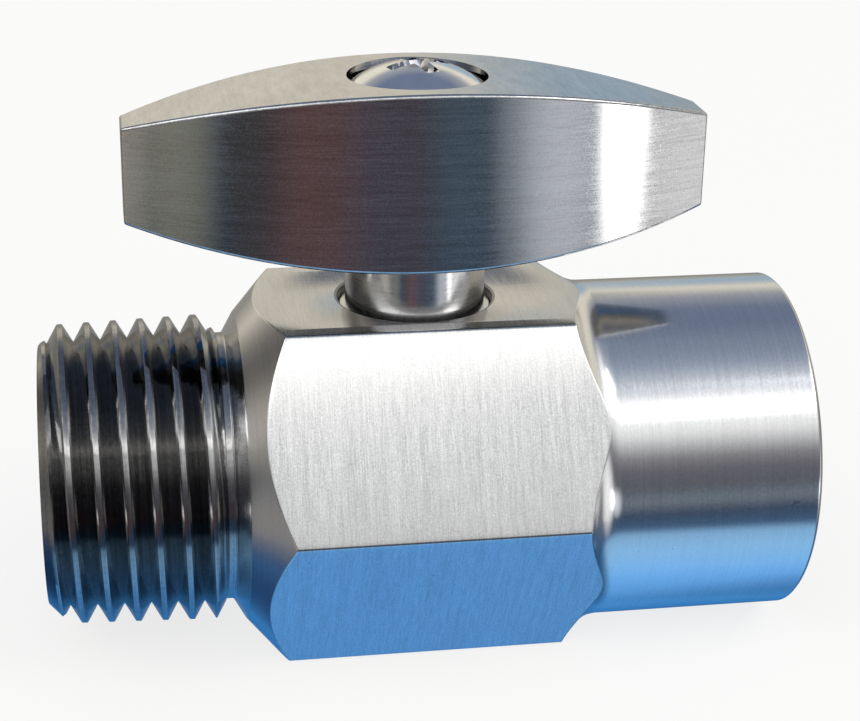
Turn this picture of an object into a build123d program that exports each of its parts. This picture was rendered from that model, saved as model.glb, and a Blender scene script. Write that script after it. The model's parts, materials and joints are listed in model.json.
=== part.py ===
"""Quarter-turn ball valve with a male taper thread at one end and a female one at the other.

The ball's centre is the origin. +X runs along the flow towards the female socket, +Z along
the stem towards the handle. The valve is modelled open, with the handle along the flow.
"""

import math
import os

from build123d import *

# ---------------------------------------------------------------- driving dimensions, in mm
# Body
hex_across_flats = 24.0
inlet_length = 25.5  # ball centre to the male end face
outlet_length = 26.0  # ball centre to the socket's end face
shoulder_x = -12.2  # where the conical shoulder starts, beside the thread
shoulder_radius = 10.65
hex_left_x = -9.4  # where the shoulder's cone meets the hexagon's corners
hex_right_x = 9.7  # where the hexagon's corners start to blend into the socket
blend_radius = 2.6  # concave blend between the hexagon and the socket
socket_relief = 0.12  # how far the socket is turned below the hexagon's flats
edge_break = 0.25  # small chamfers on turned edges
cut_overshoot = 1.0  # how far a cut runs past the face that it opens

# Taper pipe thread, 14 to the inch
thread_pitch = 25.4 / 14
thread_taper = 1 / 32  # radius gained per mm of length
flank_angle = 30.0  # each flank's lean from the radial direction, in degrees
crest_flat = 0.36
male_first_crest = 1.56  # end face to the middle of the first full crest
male_crest_radius = 10.22  # at the first full crest
female_bore_radius = 9.13  # the crests of the female thread
female_root_radius = 10.45  # at the mouth
female_runout = 1.5  # plain bore between the socket's floor and the first groove
female_mouth_chamfer = 0.9

# Waterway, ball and seats
waterway_diameter = 8.0
inlet_bore_diameter = 12.0
inlet_bore_depth = 13.5
drill_point_angle = 59.0  # half the point angle, in degrees
ball_diameter = 13.0
ball_bore_chamfer = 0.25
seat_thickness = 3.3
seat_contact = 0.82  # radial width of a seat's spherical face, outside the waterway
seat_gap = 0.03  # between the ball and a seat's spherical face
cavity_clearance = 0.25  # around the ball
fit_clearance = 0.05  # radial, between pieces that slide together
thread_gap = 0.02  # radial, between a screw and its tapped hole
seal_gap = 0.01  # a seal's section is this much under its groove on each side

# Seat retainer
retainer_thread_height = 0.75  # nose radius to thread radius
retainer_nose_length = 1.8
retainer_thread_length = 2.6
retainer_recess = 0.1  # below the socket's floor
retainer_drive_step = 0.7  # the drive hexagon's flats stand this far outside the waterway
retainer_drive_depth = 2.2
retainer_seal_section = 0.9
seal_groove_width = 1.1

# Stem
stem_hole_diameter = 10.5
stem_neck_diameter = 9.5
stem_land = 0.35  # metal beside each seal groove
stem_edge_break = 0.12
stem_seal_section = 0.8
stem_shoulder_depth = 0.5  # below the top flat
stem_drive_inset = 0.08  # the square's corners are this far inside the neck
stem_drive_height = 5.2
tang_thickness = 3.0
tang_width = 7.6
tang_side_gap = 0.1
tang_end_gap = 0.15
slot_floor_wall = 0.9  # ball metal between the slot and the bore

# Stop pin, which holds the stem down and limits it to a quarter turn
stop_pin_diameter = 1.2
stop_pin_reach = 0.6  # into the stem's groove
stop_pin_fit = 0.005  # radial, in its hole
stop_groove_clearance = 0.05
stop_angle_clearance = 0.8  # degrees at each end of the quarter turn
stop_pin_recess = 0.35  # below the body's flat
turn_angle = 90.0

# Handle
handle_length = 38.8
handle_width = 12.2
handle_end_width = 3.4
handle_underside = 15.5  # at the middle, above the flow axis
handle_top = 27.4
handle_under_bow = 2.7
handle_top_crown = 2.8
handle_edge_radius = 0.22
handle_seat_depth = 0.3  # recess that takes the stem's shoulder
handle_drive_clearance = 0.05
handle_drive_headroom = 0.3

# Handle screw and its spring washer
screw_diameter = 4.0
screw_length = 12.0
screw_hole_clearance = 0.2
screw_tap_runout = 1.0  # tapped hole below the screw's tip
screw_head_diameter = 8.8
screw_rim_height = 0.75
screw_rim_edge = 0.19
screw_dome_height = 1.45
screw_head_sink = 0.65  # rim below the handle's crown
screw_recess_span = 4.3
screw_recess_slot = 1.0
screw_recess_depth = 1.9
screw_recess_tip = 0.72  # half width of the cross recess at its floor
screw_recess_lip = 0.48  # below the dome's apex, where the recess's wall starts to slope
screw_recess_turn = 20.0  # degrees from the handle's length
counterbore_clearance = 0.27
washer_width = 1.45
washer_thickness = 0.9
washer_split = 0.6
washer_split_turn = 135.0  # degrees from the handle's length

# ---------------------------------------------------------------- derived sizes
flank = math.tan(math.radians(flank_angle))
thread_depth = (thread_pitch - crest_flat) / 2 / flank
hex_radius = hex_across_flats / 2
corner_radius = hex_radius / math.cos(math.pi / 6)
socket_radius = hex_radius - socket_relief
inlet_x = -inlet_length
outlet_x = outlet_length
first_crest_x = inlet_x + male_first_crest
neck_room = crest_flat / 2 + 2 * thread_depth * flank  # the last groove and the shoulder's flank
male_crests = int((shoulder_x - neck_room - first_crest_x) / thread_pitch) + 1

ball_radius = ball_diameter / 2
waterway_radius = waterway_diameter / 2
cavity_radius = ball_radius + cavity_clearance
seat_face_radius = ball_radius + seat_gap
seat_lip_radius = waterway_radius + seat_contact
seat_front_x = math.sqrt(seat_face_radius**2 - seat_lip_radius**2)
seat_back_x = seat_front_x + seat_thickness
nose_end_x = seat_back_x + retainer_nose_length
retainer_thread_radius = cavity_radius + retainer_thread_height
retainer_end_x = nose_end_x + retainer_thread_length
socket_floor_x = retainer_end_x + retainer_recess
retainer_drive_flats = waterway_diameter + 2 * retainer_drive_step
mouth_x = outlet_x - female_mouth_chamfer
last_groove_x = mouth_x - thread_pitch
female_grooves = int((last_groove_x - socket_floor_x - female_runout) / thread_pitch) + 1

stem_hole_radius = stem_hole_diameter / 2
stem_radius = stem_hole_radius - fit_clearance
stem_neck_radius = stem_neck_diameter / 2
stem_drive_flats = (stem_neck_radius - stem_drive_inset) * math.sqrt(2)
stem_bottom_z = cavity_radius - fit_clearance
slot_floor_z = waterway_radius + slot_floor_wall
lower_groove_z = stem_bottom_z + stem_land
upper_groove_z = lower_groove_z + seal_groove_width + stem_land
stem_shoulder_z = hex_radius - stem_shoulder_depth
stop_pin_radius = stop_pin_diameter / 2
stop_groove_height = stop_pin_diameter + 2 * stop_groove_clearance
stop_z = upper_groove_z + seal_groove_width + stem_land + stop_groove_height / 2
handle_seat_z = handle_underside + handle_seat_depth
drive_top_z = handle_seat_z + stem_drive_height

screw_radius = screw_diameter / 2
head_radius = screw_head_diameter / 2
head_rim_z = handle_top - screw_head_sink
head_bottom_z = head_rim_z - screw_rim_height
washer_bottom_z = head_bottom_z - washer_thickness
screw_tip_z = head_bottom_z - screw_length
counterbore_radius = head_radius + counterbore_clearance


# ---------------------------------------------------------------- helpers
def turned(points):
    """The solid that a closed outline of (along, out) points sweeps around the flow axis."""
    return revolve(make_face(Polyline(*points, close=True)), axis=Axis.X)


def turned_upright(points):
    """The solid that a closed outline of (out, up) points sweeps around the stem axis."""
    return revolve(Plane.XZ * make_face(Polyline(*points, close=True)), axis=Axis.Z)


def disc(radius, low, high):
    """A cylinder on the stem axis between two heights."""
    return Pos(0, 0, low) * Cylinder(radius, high - low, align=(Align.CENTER, Align.CENTER, Align.MIN))


def seal_ring(outer, section):
    """An O-ring that fills a groove of one section's depth under a wall of radius outer."""
    return Torus(outer - section / 2, section / 2 - seal_gap)


def male_thread_outline():
    """Points of the male thread from the end face to the shoulder, one V groove after each crest."""

    def crest(x):
        return male_crest_radius + (x - first_crest_x) * thread_taper

    points = [(inlet_x, crest(inlet_x) - thread_depth)]
    for turn in range(male_crests):
        x = first_crest_x + turn * thread_pitch
        points += [(x - crest_flat / 2, crest(x)), (x + crest_flat / 2, crest(x))]
        if turn < male_crests - 1:
            root = x + thread_pitch / 2
            points.append((root, crest(root) - thread_depth))
    neck_start = points[-1][0] + thread_depth * flank
    neck_radius = crest(neck_start) - thread_depth
    points.append((neck_start, neck_radius))
    points.append((shoulder_x - (shoulder_radius - neck_radius) * flank, neck_radius))
    points.append((shoulder_x, shoulder_radius))
    return points


def female_thread_outline():
    """Points of the female thread from the socket's floor out to the mouth."""
    points = [(socket_floor_x, female_bore_radius)]
    mouth_radius = female_root_radius + edge_break
    for turn in reversed(range(female_grooves)):
        x = last_groove_x - turn * thread_pitch
        root = female_root_radius - (outlet_x - x) * thread_taper
        half = (root - female_bore_radius) * flank
        points += [(x - half, female_bore_radius), (x, root), (x + half, female_bore_radius)]
    points.append((mouth_x - (mouth_radius - female_bore_radius) * flank, female_bore_radius))
    past_mouth = outlet_x + cut_overshoot
    points += [(outlet_x, mouth_radius + edge_break), (past_mouth, mouth_radius + edge_break)]
    return points


# ---------------------------------------------------------------- the pieces
def make_valve_body():
    """One piece of hexagon bar, turned at both ends and bored through."""
    blend_centre_r = socket_radius + blend_radius
    blend_x = hex_right_x + math.sqrt(blend_radius**2 - (blend_centre_r - corner_radius) ** 2)
    lean = blend_radius / math.sqrt(2)
    blend_top = (blend_x - blend_radius, blend_centre_r)
    top = Polyline(
        *male_thread_outline(),
        (hex_left_x, corner_radius),
        (hex_left_x + edge_break, blend_centre_r),
        blend_top,
    )
    blend = ThreePointArc(blend_top, (blend_x - lean, blend_centre_r - lean), (blend_x, socket_radius))
    end = Polyline(
        (blend_x, socket_radius),
        (outlet_x - edge_break, socket_radius),
        (outlet_x, socket_radius - edge_break),
        (outlet_x, 0),
        (inlet_x, 0),
        male_thread_outline()[0],
    )
    outside = revolve(make_face(top + blend + end), axis=Axis.X)
    bar_length = inlet_length + outlet_length + 2 * cut_overshoot
    bar = extrude(RegularPolygon(hex_radius, 6, major_radius=False), bar_length)
    body = outside & (Plane.YZ.offset(inlet_x - cut_overshoot) * bar)

    inlet_radius = inlet_bore_diameter / 2
    inlet_floor = inlet_x + inlet_bore_depth
    drill_run = (inlet_radius - waterway_radius) / math.tan(math.radians(drill_point_angle))
    bore = turned(
        [
            (inlet_x - cut_overshoot, 0),
            (inlet_x - cut_overshoot, inlet_radius + edge_break),
            (inlet_x, inlet_radius + edge_break),
            (inlet_x + edge_break, inlet_radius),
            (inlet_floor, inlet_radius),
            (inlet_floor + drill_run, waterway_radius),
            (-seat_back_x, waterway_radius),
            (-seat_back_x, cavity_radius),
            (nose_end_x, cavity_radius),
            (nose_end_x, retainer_thread_radius),
            (socket_floor_x, retainer_thread_radius),
            *female_thread_outline(),
            (outlet_x + cut_overshoot, 0),
        ]
    )
    rim = turned_upright(
        [
            (0, hex_radius - edge_break),
            (stem_hole_radius, hex_radius - edge_break),
            (stem_hole_radius + 2 * edge_break, hex_radius + edge_break),
            (0, hex_radius + edge_break),
        ]
    )
    stem_hole = disc(stem_hole_radius, 0, hex_radius + cut_overshoot)
    pin_hole = Cylinder(
        stop_pin_radius, hex_across_flats, align=(Align.CENTER, Align.CENTER, Align.MAX)
    )
    return body - bore - stem_hole - rim - Pos(0, 0, stop_z) * (Plane.XZ * pin_hole)


def make_ball():
    """A ball with a through bore and, on top, the slot that the stem's tang turns."""
    ball = Sphere(ball_radius)
    chord = math.sqrt(ball_radius**2 - waterway_radius**2)
    bore = turned(
        [
            (-ball_radius, 0),
            (-ball_radius, waterway_radius + ball_radius - chord + ball_bore_chamfer),
            (-chord + ball_bore_chamfer, waterway_radius),
            (chord - ball_bore_chamfer, waterway_radius),
            (ball_radius, waterway_radius + ball_radius - chord + ball_bore_chamfer),
            (ball_radius, 0),
        ]
    )
    slot = Pos(0, 0, slot_floor_z) * Box(
        tang_thickness + 2 * tang_side_gap,
        ball_diameter,
        ball_radius,
        align=(Align.CENTER, Align.CENTER, Align.MIN),
    )
    return ball - bore - slot


def make_outlet_seat():
    """The seat ring on the outlet side, whose front is hollowed to the ball."""
    outer = cavity_radius - fit_clearance
    inner_x = math.sqrt(seat_face_radius**2 - waterway_radius**2)
    lean = (math.atan2(waterway_radius, inner_x) + math.atan2(seat_lip_radius, seat_front_x)) / 2
    middle = (seat_face_radius * math.cos(lean), seat_face_radius * math.sin(lean))
    front = ThreePointArc((inner_x, waterway_radius), middle, (seat_front_x, seat_lip_radius))
    back = Polyline(
        (seat_front_x, seat_lip_radius),
        (seat_front_x, outer),
        (seat_back_x, outer),
        (seat_back_x, waterway_radius),
        (inner_x, waterway_radius),
    )
    return revolve(make_face(front + back), axis=Axis.X)


def make_seat_retainer():
    """The threaded ring that holds the outlet seat, with a hexagon drive and a seal groove on its nose."""
    nose_radius = cavity_radius - fit_clearance
    groove_start = seat_back_x + (retainer_nose_length - seal_groove_width) / 2
    groove_radius = cavity_radius - retainer_seal_section
    ring = turned(
        [
            (seat_back_x, waterway_radius),
            (seat_back_x, nose_radius),
            (groove_start, nose_radius),
            (groove_start, groove_radius),
            (groove_start + seal_groove_width, groove_radius),
            (groove_start + seal_groove_width, nose_radius),
            (nose_end_x, nose_radius),
            (nose_end_x, retainer_thread_radius - thread_gap),
            (retainer_end_x - edge_break, retainer_thread_radius - thread_gap),
            (retainer_end_x, retainer_thread_radius - edge_break),
            (retainer_end_x, waterway_radius),
        ]
    )
    drive = extrude(
        RegularPolygon(retainer_drive_flats / 2, 6, major_radius=False),
        retainer_drive_depth + cut_overshoot,
    )
    return ring - Plane.YZ.offset(retainer_end_x - retainer_drive_depth) * drive


def make_stem():
    """The stem: tang, two seal grooves, stop groove, neck and the square that drives the handle."""
    groove_radius = stem_hole_radius - stem_seal_section
    outline = [(0, stem_bottom_z), (stem_radius, stem_bottom_z)]
    for low in (lower_groove_z, upper_groove_z):
        high = low + seal_groove_width
        outline += [(stem_radius, low), (groove_radius, low)]
        outline += [(groove_radius, high), (stem_radius, high)]
    outline += [
        (stem_radius, stem_shoulder_z - stem_edge_break),
        (stem_radius - stem_edge_break, stem_shoulder_z),
        (stem_neck_radius, stem_shoulder_z),
        (stem_neck_radius, handle_seat_z),
        (0, handle_seat_z),
    ]
    tang = Pos(0, 0, slot_floor_z + tang_end_gap) * Box(
        tang_thickness,
        tang_width,
        stem_bottom_z - slot_floor_z - tang_end_gap,
        align=(Align.CENTER, Align.CENTER, Align.MIN),
    )
    square = Pos(0, 0, handle_seat_z) * Box(
        stem_drive_flats,
        stem_drive_flats,
        stem_drive_height,
        align=(Align.CENTER, Align.CENTER, Align.MIN),
    )
    square = chamfer(square.faces().sort_by(Axis.Z)[-1].edges(), edge_break)
    tapped_hole = disc(
        screw_radius + thread_gap, screw_tip_z - screw_tap_runout, drive_top_z + cut_overshoot
    )

    floor = stem_hole_radius - stop_pin_reach - stop_groove_clearance
    tip = stem_hole_radius - stop_pin_reach
    margin = math.degrees(math.asin(stop_pin_radius / tip)) + stop_angle_clearance
    outside = stem_hole_radius + cut_overshoot
    section = Pos((floor + outside) / 2, stop_z) * Rectangle(outside - floor, stop_groove_height)
    arc = turn_angle + 2 * margin
    stop_groove = revolve(Plane.XZ * section, axis=Axis.Z, revolution_arc=arc)
    return turned_upright(outline) + tang + square - tapped_hole - Rot(0, 0, 90 - margin) * stop_groove


def make_stop_pin():
    """A plain dowel pressed in from the back, whose tip rides in the stem's groove."""
    tip = stem_hole_radius - stop_pin_reach
    flat_y = (corner_radius - stop_z / math.sqrt(3)) - stop_pin_radius / math.sqrt(3)
    length = flat_y - stop_pin_recess - tip
    pin = Cylinder(
        stop_pin_radius - stop_pin_fit, length, align=(Align.CENTER, Align.CENTER, Align.MAX)
    )
    return Pos(0, tip, stop_z) * (Plane.XZ * pin)


def make_handle():
    """A lens-shaped bar with upright sides, a crowned top and a bowed underside."""
    half = handle_length / 2
    end = handle_end_width / 2
    side = handle_width / 2
    plan = (
        ThreePointArc((-half, -end), (0, -side), (half, -end))
        + Line((half, -end), (half, end))
        + ThreePointArc((half, end), (0, side), (-half, end))
        + Line((-half, end), (-half, -end))
    )
    low = handle_underside + handle_under_bow
    high = handle_top - handle_top_crown
    front = (
        ThreePointArc((-half, low), (0, handle_underside), (half, low))
        + Line((half, low), (half, high))
        + ThreePointArc((half, high), (0, handle_top), (-half, high))
        + Line((-half, high), (-half, low))
    )
    upright = extrude(make_face(plan), handle_top + cut_overshoot)
    across = extrude(Plane.XZ * make_face(front), side + cut_overshoot, both=True)
    bar = upright & across
    bar = fillet(bar.edges(), handle_edge_radius)

    drive = stem_drive_flats + 2 * handle_drive_clearance
    socket_top = drive_top_z + handle_drive_headroom
    below = handle_underside - cut_overshoot
    socket = Pos(0, 0, below) * Box(
        drive, drive, socket_top - below, align=(Align.CENTER, Align.CENTER, Align.MIN)
    )
    seat = disc(stem_neck_radius + handle_drive_clearance, below, handle_seat_z)
    screw_hole = disc(screw_radius + screw_hole_clearance, handle_seat_z, handle_top)
    counterbore = disc(counterbore_radius, washer_bottom_z, handle_top + cut_overshoot)
    return bar - socket - seat - screw_hole - counterbore


def make_lock_washer():
    """A split spring washer, closed flat under the screw's head."""
    inner = screw_radius + screw_hole_clearance
    ring = disc(inner + washer_width, washer_bottom_z, head_bottom_z)
    hole = disc(inner, washer_bottom_z, head_bottom_z)
    split = Pos(inner + washer_width / 2, 0, washer_bottom_z) * Box(
        washer_width + 2 * cut_overshoot, washer_split, 2 * (washer_thickness + cut_overshoot)
    )
    return ring - hole - Rot(0, 0, washer_split_turn) * split


def make_handle_screw():
    """A dome-headed screw with a cross recess."""
    apex_z = head_rim_z + screw_dome_height
    dome_radius = (head_radius**2 + screw_dome_height**2) / (2 * screw_dome_height)
    dome_mid_z = apex_z - dome_radius + math.sqrt(dome_radius**2 - (head_radius / 2) ** 2)
    shank = Polyline(
        (0, apex_z),
        (0, screw_tip_z),
        (screw_radius - edge_break, screw_tip_z),
        (screw_radius, screw_tip_z + edge_break),
        (screw_radius, head_bottom_z),
        (head_radius - screw_rim_edge, head_bottom_z),
        (head_radius, head_bottom_z + screw_rim_edge),
        (head_radius, head_rim_z),
    )
    dome = ThreePointArc((head_radius, head_rim_z), (head_radius / 2, dome_mid_z), (0, apex_z))
    screw = revolve(Plane.XZ * make_face(shank + dome), axis=Axis.Z)

    cut_top_z = apex_z + cut_overshoot
    slot = Box(screw_recess_span, screw_recess_slot, 2 * (screw_recess_depth + cut_overshoot))
    cross = Pos(0, 0, apex_z) * (slot + Rot(0, 0, 90) * slot)
    reach = screw_recess_span / 2
    wedge = turned_upright(
        [
            (0, apex_z - screw_recess_depth),
            (screw_recess_tip, apex_z - screw_recess_depth),
            (reach, apex_z - screw_recess_lip),
            (reach, cut_top_z),
            (0, cut_top_z),
        ]
    )
    return screw - (Rot(0, 0, screw_recess_turn) * cross & wedge)


def make_all():
    """Every piece in its place, by name."""
    outlet_seat = make_outlet_seat()
    groove_mid_x = seat_back_x + retainer_nose_length / 2
    nose_seal = Rot(0, 90, 0) * seal_ring(cavity_radius, retainer_seal_section)
    stem_seal = seal_ring(stem_hole_radius, stem_seal_section)
    return {
        "valve_body": make_valve_body(),
        "ball": make_ball(),
        "inlet_seat": Rot(0, 0, 180) * outlet_seat,
        "outlet_seat": outlet_seat,
        "seat_retainer": make_seat_retainer(),
        "retainer_o_ring": Pos(groove_mid_x, 0, 0) * nose_seal,
        "stem": make_stem(),
        "lower_stem_o_ring": Pos(0, 0, lower_groove_z + seal_groove_width / 2) * stem_seal,
        "upper_stem_o_ring": Pos(0, 0, upper_groove_z + seal_groove_width / 2) * stem_seal,
        "stop_pin": make_stop_pin(),
        "handle": make_handle(),
        "lock_washer": make_lock_washer(),
        "handle_screw": make_handle_screw(),
    }


os.makedirs("parts", exist_ok=True)
for name, piece in make_all().items():
    export_step(piece, f"parts/{name}.step")
    print(f"{name}: {len(piece.solids())} solid, {piece.volume:.1f} mm3, valid {piece.is_valid}")
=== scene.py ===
# %% [markdown]
# # A quarter-turn ball valve
#
# The valve is a piece of stainless hexagon bar, turned and threaded at both ends, with a
# lens-shaped handle on a round stem. Its design, sizes and joints are already settled in the
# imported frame, so this lesson only makes what a buyer would see: real helical threads, softly
# broken edges, and metal that looks brushed, turned or polished in the right places.
#
# Everything is in metres and in the frame's own axes: +X along the flow towards the female
# socket, +Z up the stem, and the ball's centre at the origin.

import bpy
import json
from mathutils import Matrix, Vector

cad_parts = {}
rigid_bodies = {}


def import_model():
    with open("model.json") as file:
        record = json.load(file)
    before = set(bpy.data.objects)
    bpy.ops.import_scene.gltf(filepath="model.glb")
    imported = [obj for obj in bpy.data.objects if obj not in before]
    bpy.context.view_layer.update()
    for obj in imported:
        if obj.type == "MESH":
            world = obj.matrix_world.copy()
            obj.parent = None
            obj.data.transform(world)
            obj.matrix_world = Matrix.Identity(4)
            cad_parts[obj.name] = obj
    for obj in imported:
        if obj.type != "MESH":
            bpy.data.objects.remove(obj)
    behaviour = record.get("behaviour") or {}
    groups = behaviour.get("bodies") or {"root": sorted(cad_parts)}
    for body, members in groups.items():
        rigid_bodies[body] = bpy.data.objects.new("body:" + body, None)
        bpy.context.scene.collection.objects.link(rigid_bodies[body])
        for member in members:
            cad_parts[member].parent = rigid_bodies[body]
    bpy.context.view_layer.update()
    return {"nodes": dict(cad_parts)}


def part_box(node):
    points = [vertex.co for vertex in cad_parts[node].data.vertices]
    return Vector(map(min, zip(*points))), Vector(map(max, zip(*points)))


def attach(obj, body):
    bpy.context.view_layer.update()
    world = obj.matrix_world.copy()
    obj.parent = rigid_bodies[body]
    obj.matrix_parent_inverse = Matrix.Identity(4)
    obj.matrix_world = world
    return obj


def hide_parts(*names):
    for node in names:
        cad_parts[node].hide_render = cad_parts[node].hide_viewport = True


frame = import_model()

import json
import math

import bmesh
import bpy
import numpy as np
from mathutils import Matrix, Vector

print("pieces in the frame:", ", ".join(sorted(frame["nodes"])))

# %% [markdown]
# ## Sizes
#
# Sizes that the frame already knows are read from the boxes of its nodes. The rest are the
# turner's sizes, in millimetres on the drawing, so each is written as a number times mm.

# %% Read the sizes that the frame holds
mm = 0.001
body_low, body_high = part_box("valve_body")
inlet_x, outlet_x = body_low.x, body_high.x
hex_radius = body_high.z
corner_radius = body_high.y
ball_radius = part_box("ball")[1].y
cavity_radius = ball_radius + 0.25 * mm
seat_back_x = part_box("outlet_seat")[1].x
retainer_low, retainer_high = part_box("seat_retainer")
retainer_radius = retainer_high.y + 0.02 * mm
socket_floor_x = retainer_high.x + 0.1 * mm
stem_hole_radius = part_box("stem")[1].x + 0.05 * mm
pin_low, pin_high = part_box("stop_pin")
print(f"body {1000 * (outlet_x - inlet_x):.1f} mm long, {2000 * hex_radius:.1f} mm across its flats")

# %% Name the sizes of the turned body
neck_radius = 9.22 * mm  # bottom of the relief between the thread and the shoulder
neck_start_x = -13.5 * mm
shoulder_x = -12.2 * mm
shoulder_radius = 10.65 * mm
cone_end_x = -9.4 * mm  # where the shoulder's cone reaches the hexagon's corners
blend_radius = 2.6 * mm  # hollow blend between the hexagon and the socket
blend_corner_x = 9.7 * mm  # where that blend leaves the hexagon's corners
socket_radius = hex_radius - 0.12 * mm
edge_break = 0.25 * mm
waterway_radius = 4.0 * mm
inlet_bore_radius = 6.0 * mm
inlet_bore_end_x = inlet_x + 13.5 * mm
inlet_mouth_radius = 8.85 * mm  # inner edge of the male thread's lead-in
pocket_end_x = retainer_low.x + 1.8 * mm  # where the retainer's bore meets the ball's cavity
pin_hole_gap = 0.005 * mm
drill_slope = math.tan(math.radians(59))

# %% Name the sizes of the taper pipe thread
pitch = 25.4 / 14 * mm
taper = 1 / 32
flank_slope = 1 / math.tan(math.radians(30))  # how far a flank drops for each step along
crest_flat = 0.36 * mm
male_depth = (pitch - crest_flat) / 2 * flank_slope
male_crest_x = -23.94 * mm
male_crest_radius = 10.22 * mm
female_crest_radius = 9.13 * mm
female_mouth_radius = 10.95 * mm
female_root_radius = 10.4 * mm
thread_rounding = 0.05 * mm
lead_in_slope = 1.05
mouth_slope = 1.3
female_fade = 3.0 * mm  # the socket's thread starts from nothing over this length
male_fade = 0.01 * mm
female_crest_x = outlet_x - 1.8 * mm

# %% [markdown]
# ## The camera
#
# The valve is seen from a little to the left and above, close enough for the perspective to
# show. The camera is described as a photographer would: how far it is turned, raised and
# rolled, how far away it stands, and how far it is slid sideways and down from the ball.

# %% Place the camera
camera_turn = math.radians(9.78)
camera_raise = math.radians(21.57)
camera_roll = math.radians(1.01)
camera_distance = 139.01 * mm
camera_slide = 1.267 * mm
camera_lift = 6.643 * mm
camera_lens = 82.48
sensor_width = 36


def place_camera():
    """Puts the camera at its turn, raise, roll and distance from the ball's centre."""
    level = math.cos(camera_raise)
    forward = Vector(
        (math.sin(camera_turn) * level, math.cos(camera_turn) * level, -math.sin(camera_raise))
    )
    side = Vector((math.cos(camera_turn), -math.sin(camera_turn), 0))
    down = forward.cross(side)
    right = side * math.cos(camera_roll) - down * math.sin(camera_roll)
    down = side * math.sin(camera_roll) + down * math.cos(camera_roll)
    place = right * camera_slide + down * -camera_lift - forward * camera_distance
    camera = bpy.data.objects.new("camera", bpy.data.cameras.new("camera"))
    camera.data.sensor_width = sensor_width
    camera.data.lens = camera_lens
    camera.data.clip_start = 1 * mm
    camera.data.clip_end = 10
    turn = Matrix((right, -down, -forward)).transposed()
    camera.matrix_world = Matrix.Translation(place) @ turn.to_4x4()
    bpy.context.scene.collection.objects.link(camera)
    bpy.context.scene.camera = camera
    return camera


camera = place_camera()
print("camera stands at", [round(1000 * v, 1) for v in camera.location], "mm")

# %% [markdown]
# ## Small helpers for nodes
#
# Geometry and shader trees are written with the same two moves: feed a socket with a number
# or with another node's output, and add a node with some of its sockets fed. A long formula
# then reads almost like algebra.

# %% Feed sockets and add nodes


def feed(tree, socket, value):
    """Links a socket to another socket, or sets it to a plain value."""
    if isinstance(value, bpy.types.NodeSocket):
        tree.links.new(value, socket)
    else:
        socket.default_value = value


def add_node(tree, kind, settings=None, **inputs):
    """Adds a node, sets its properties, and feeds the named inputs (spaces written as _)."""
    node = tree.nodes.new(kind)
    for key, value in (settings or {}).items():
        setattr(node, key, value)
    for key, value in inputs.items():
        feed(tree, node.inputs[key.replace("_", " ")], value)
    return node


def calc(tree, operation, *values):
    """A math node's output, for example calc(tree, "ADD", a, 2)."""
    node = add_node(tree, "ShaderNodeMath", {"operation": operation})
    for socket, value in zip(node.inputs, values):
        feed(tree, socket, value)
    return node.outputs[0]


def new_group(name, kind, inputs, outputs):
    """A node group with named sockets; returns the tree, its inputs by name and its output node."""
    tree = bpy.data.node_groups.new(name, kind)
    for label, socket_type in inputs.items():
        tree.interface.new_socket(label, in_out="INPUT", socket_type=socket_type)
    for label, socket_type in outputs.items():
        tree.interface.new_socket(label, in_out="OUTPUT", socket_type=socket_type)
    given = tree.nodes.new("NodeGroupInput").outputs
    return tree, given, tree.nodes.new("NodeGroupOutput")


print("node helpers:", feed.__name__, add_node.__name__, calc.__name__, new_group.__name__)


# %% [markdown]
# ## The threads
#
# A thread is a groove that a tool cuts while the work turns and the tool creeps along, so
# every ridge climbs by one pitch in each turn. Modelling it as stacked rings is quick but
# wrong: the ridges in front would be in line with those behind. A swept cutter and a boolean
# would work, but leave ragged edges where the groove runs out.
#
# Here a flat sheet is wound into the thread by Geometry Nodes. A point's X on the sheet is
# its angle around the axis and its Y is its place along the thread, in turns. The tree moves
# each point along the helix, clamps it between the two end planes, and works out the radius
# there. Everything beyond an end plane falls onto one ring, which merging then tidies away.
# The same tree makes the outside and the inside thread: Side is 1 or -1.

# %% Build the tree that winds a sheet into a thread
THREAD_SIZES = (
    "Pitch", "Crest Start", "Crest Radius", "Crest Taper", "Root Radius", "Root Taper",
    "Crest Flat", "Rounding", "Start", "End", "Start Lip Radius", "Start Lip Slope",
    "End Lip Radius", "End Lip Slope", "Fade In", "Side",
)
merge_gap = 1.5e-6  # points closer than this become one


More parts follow.
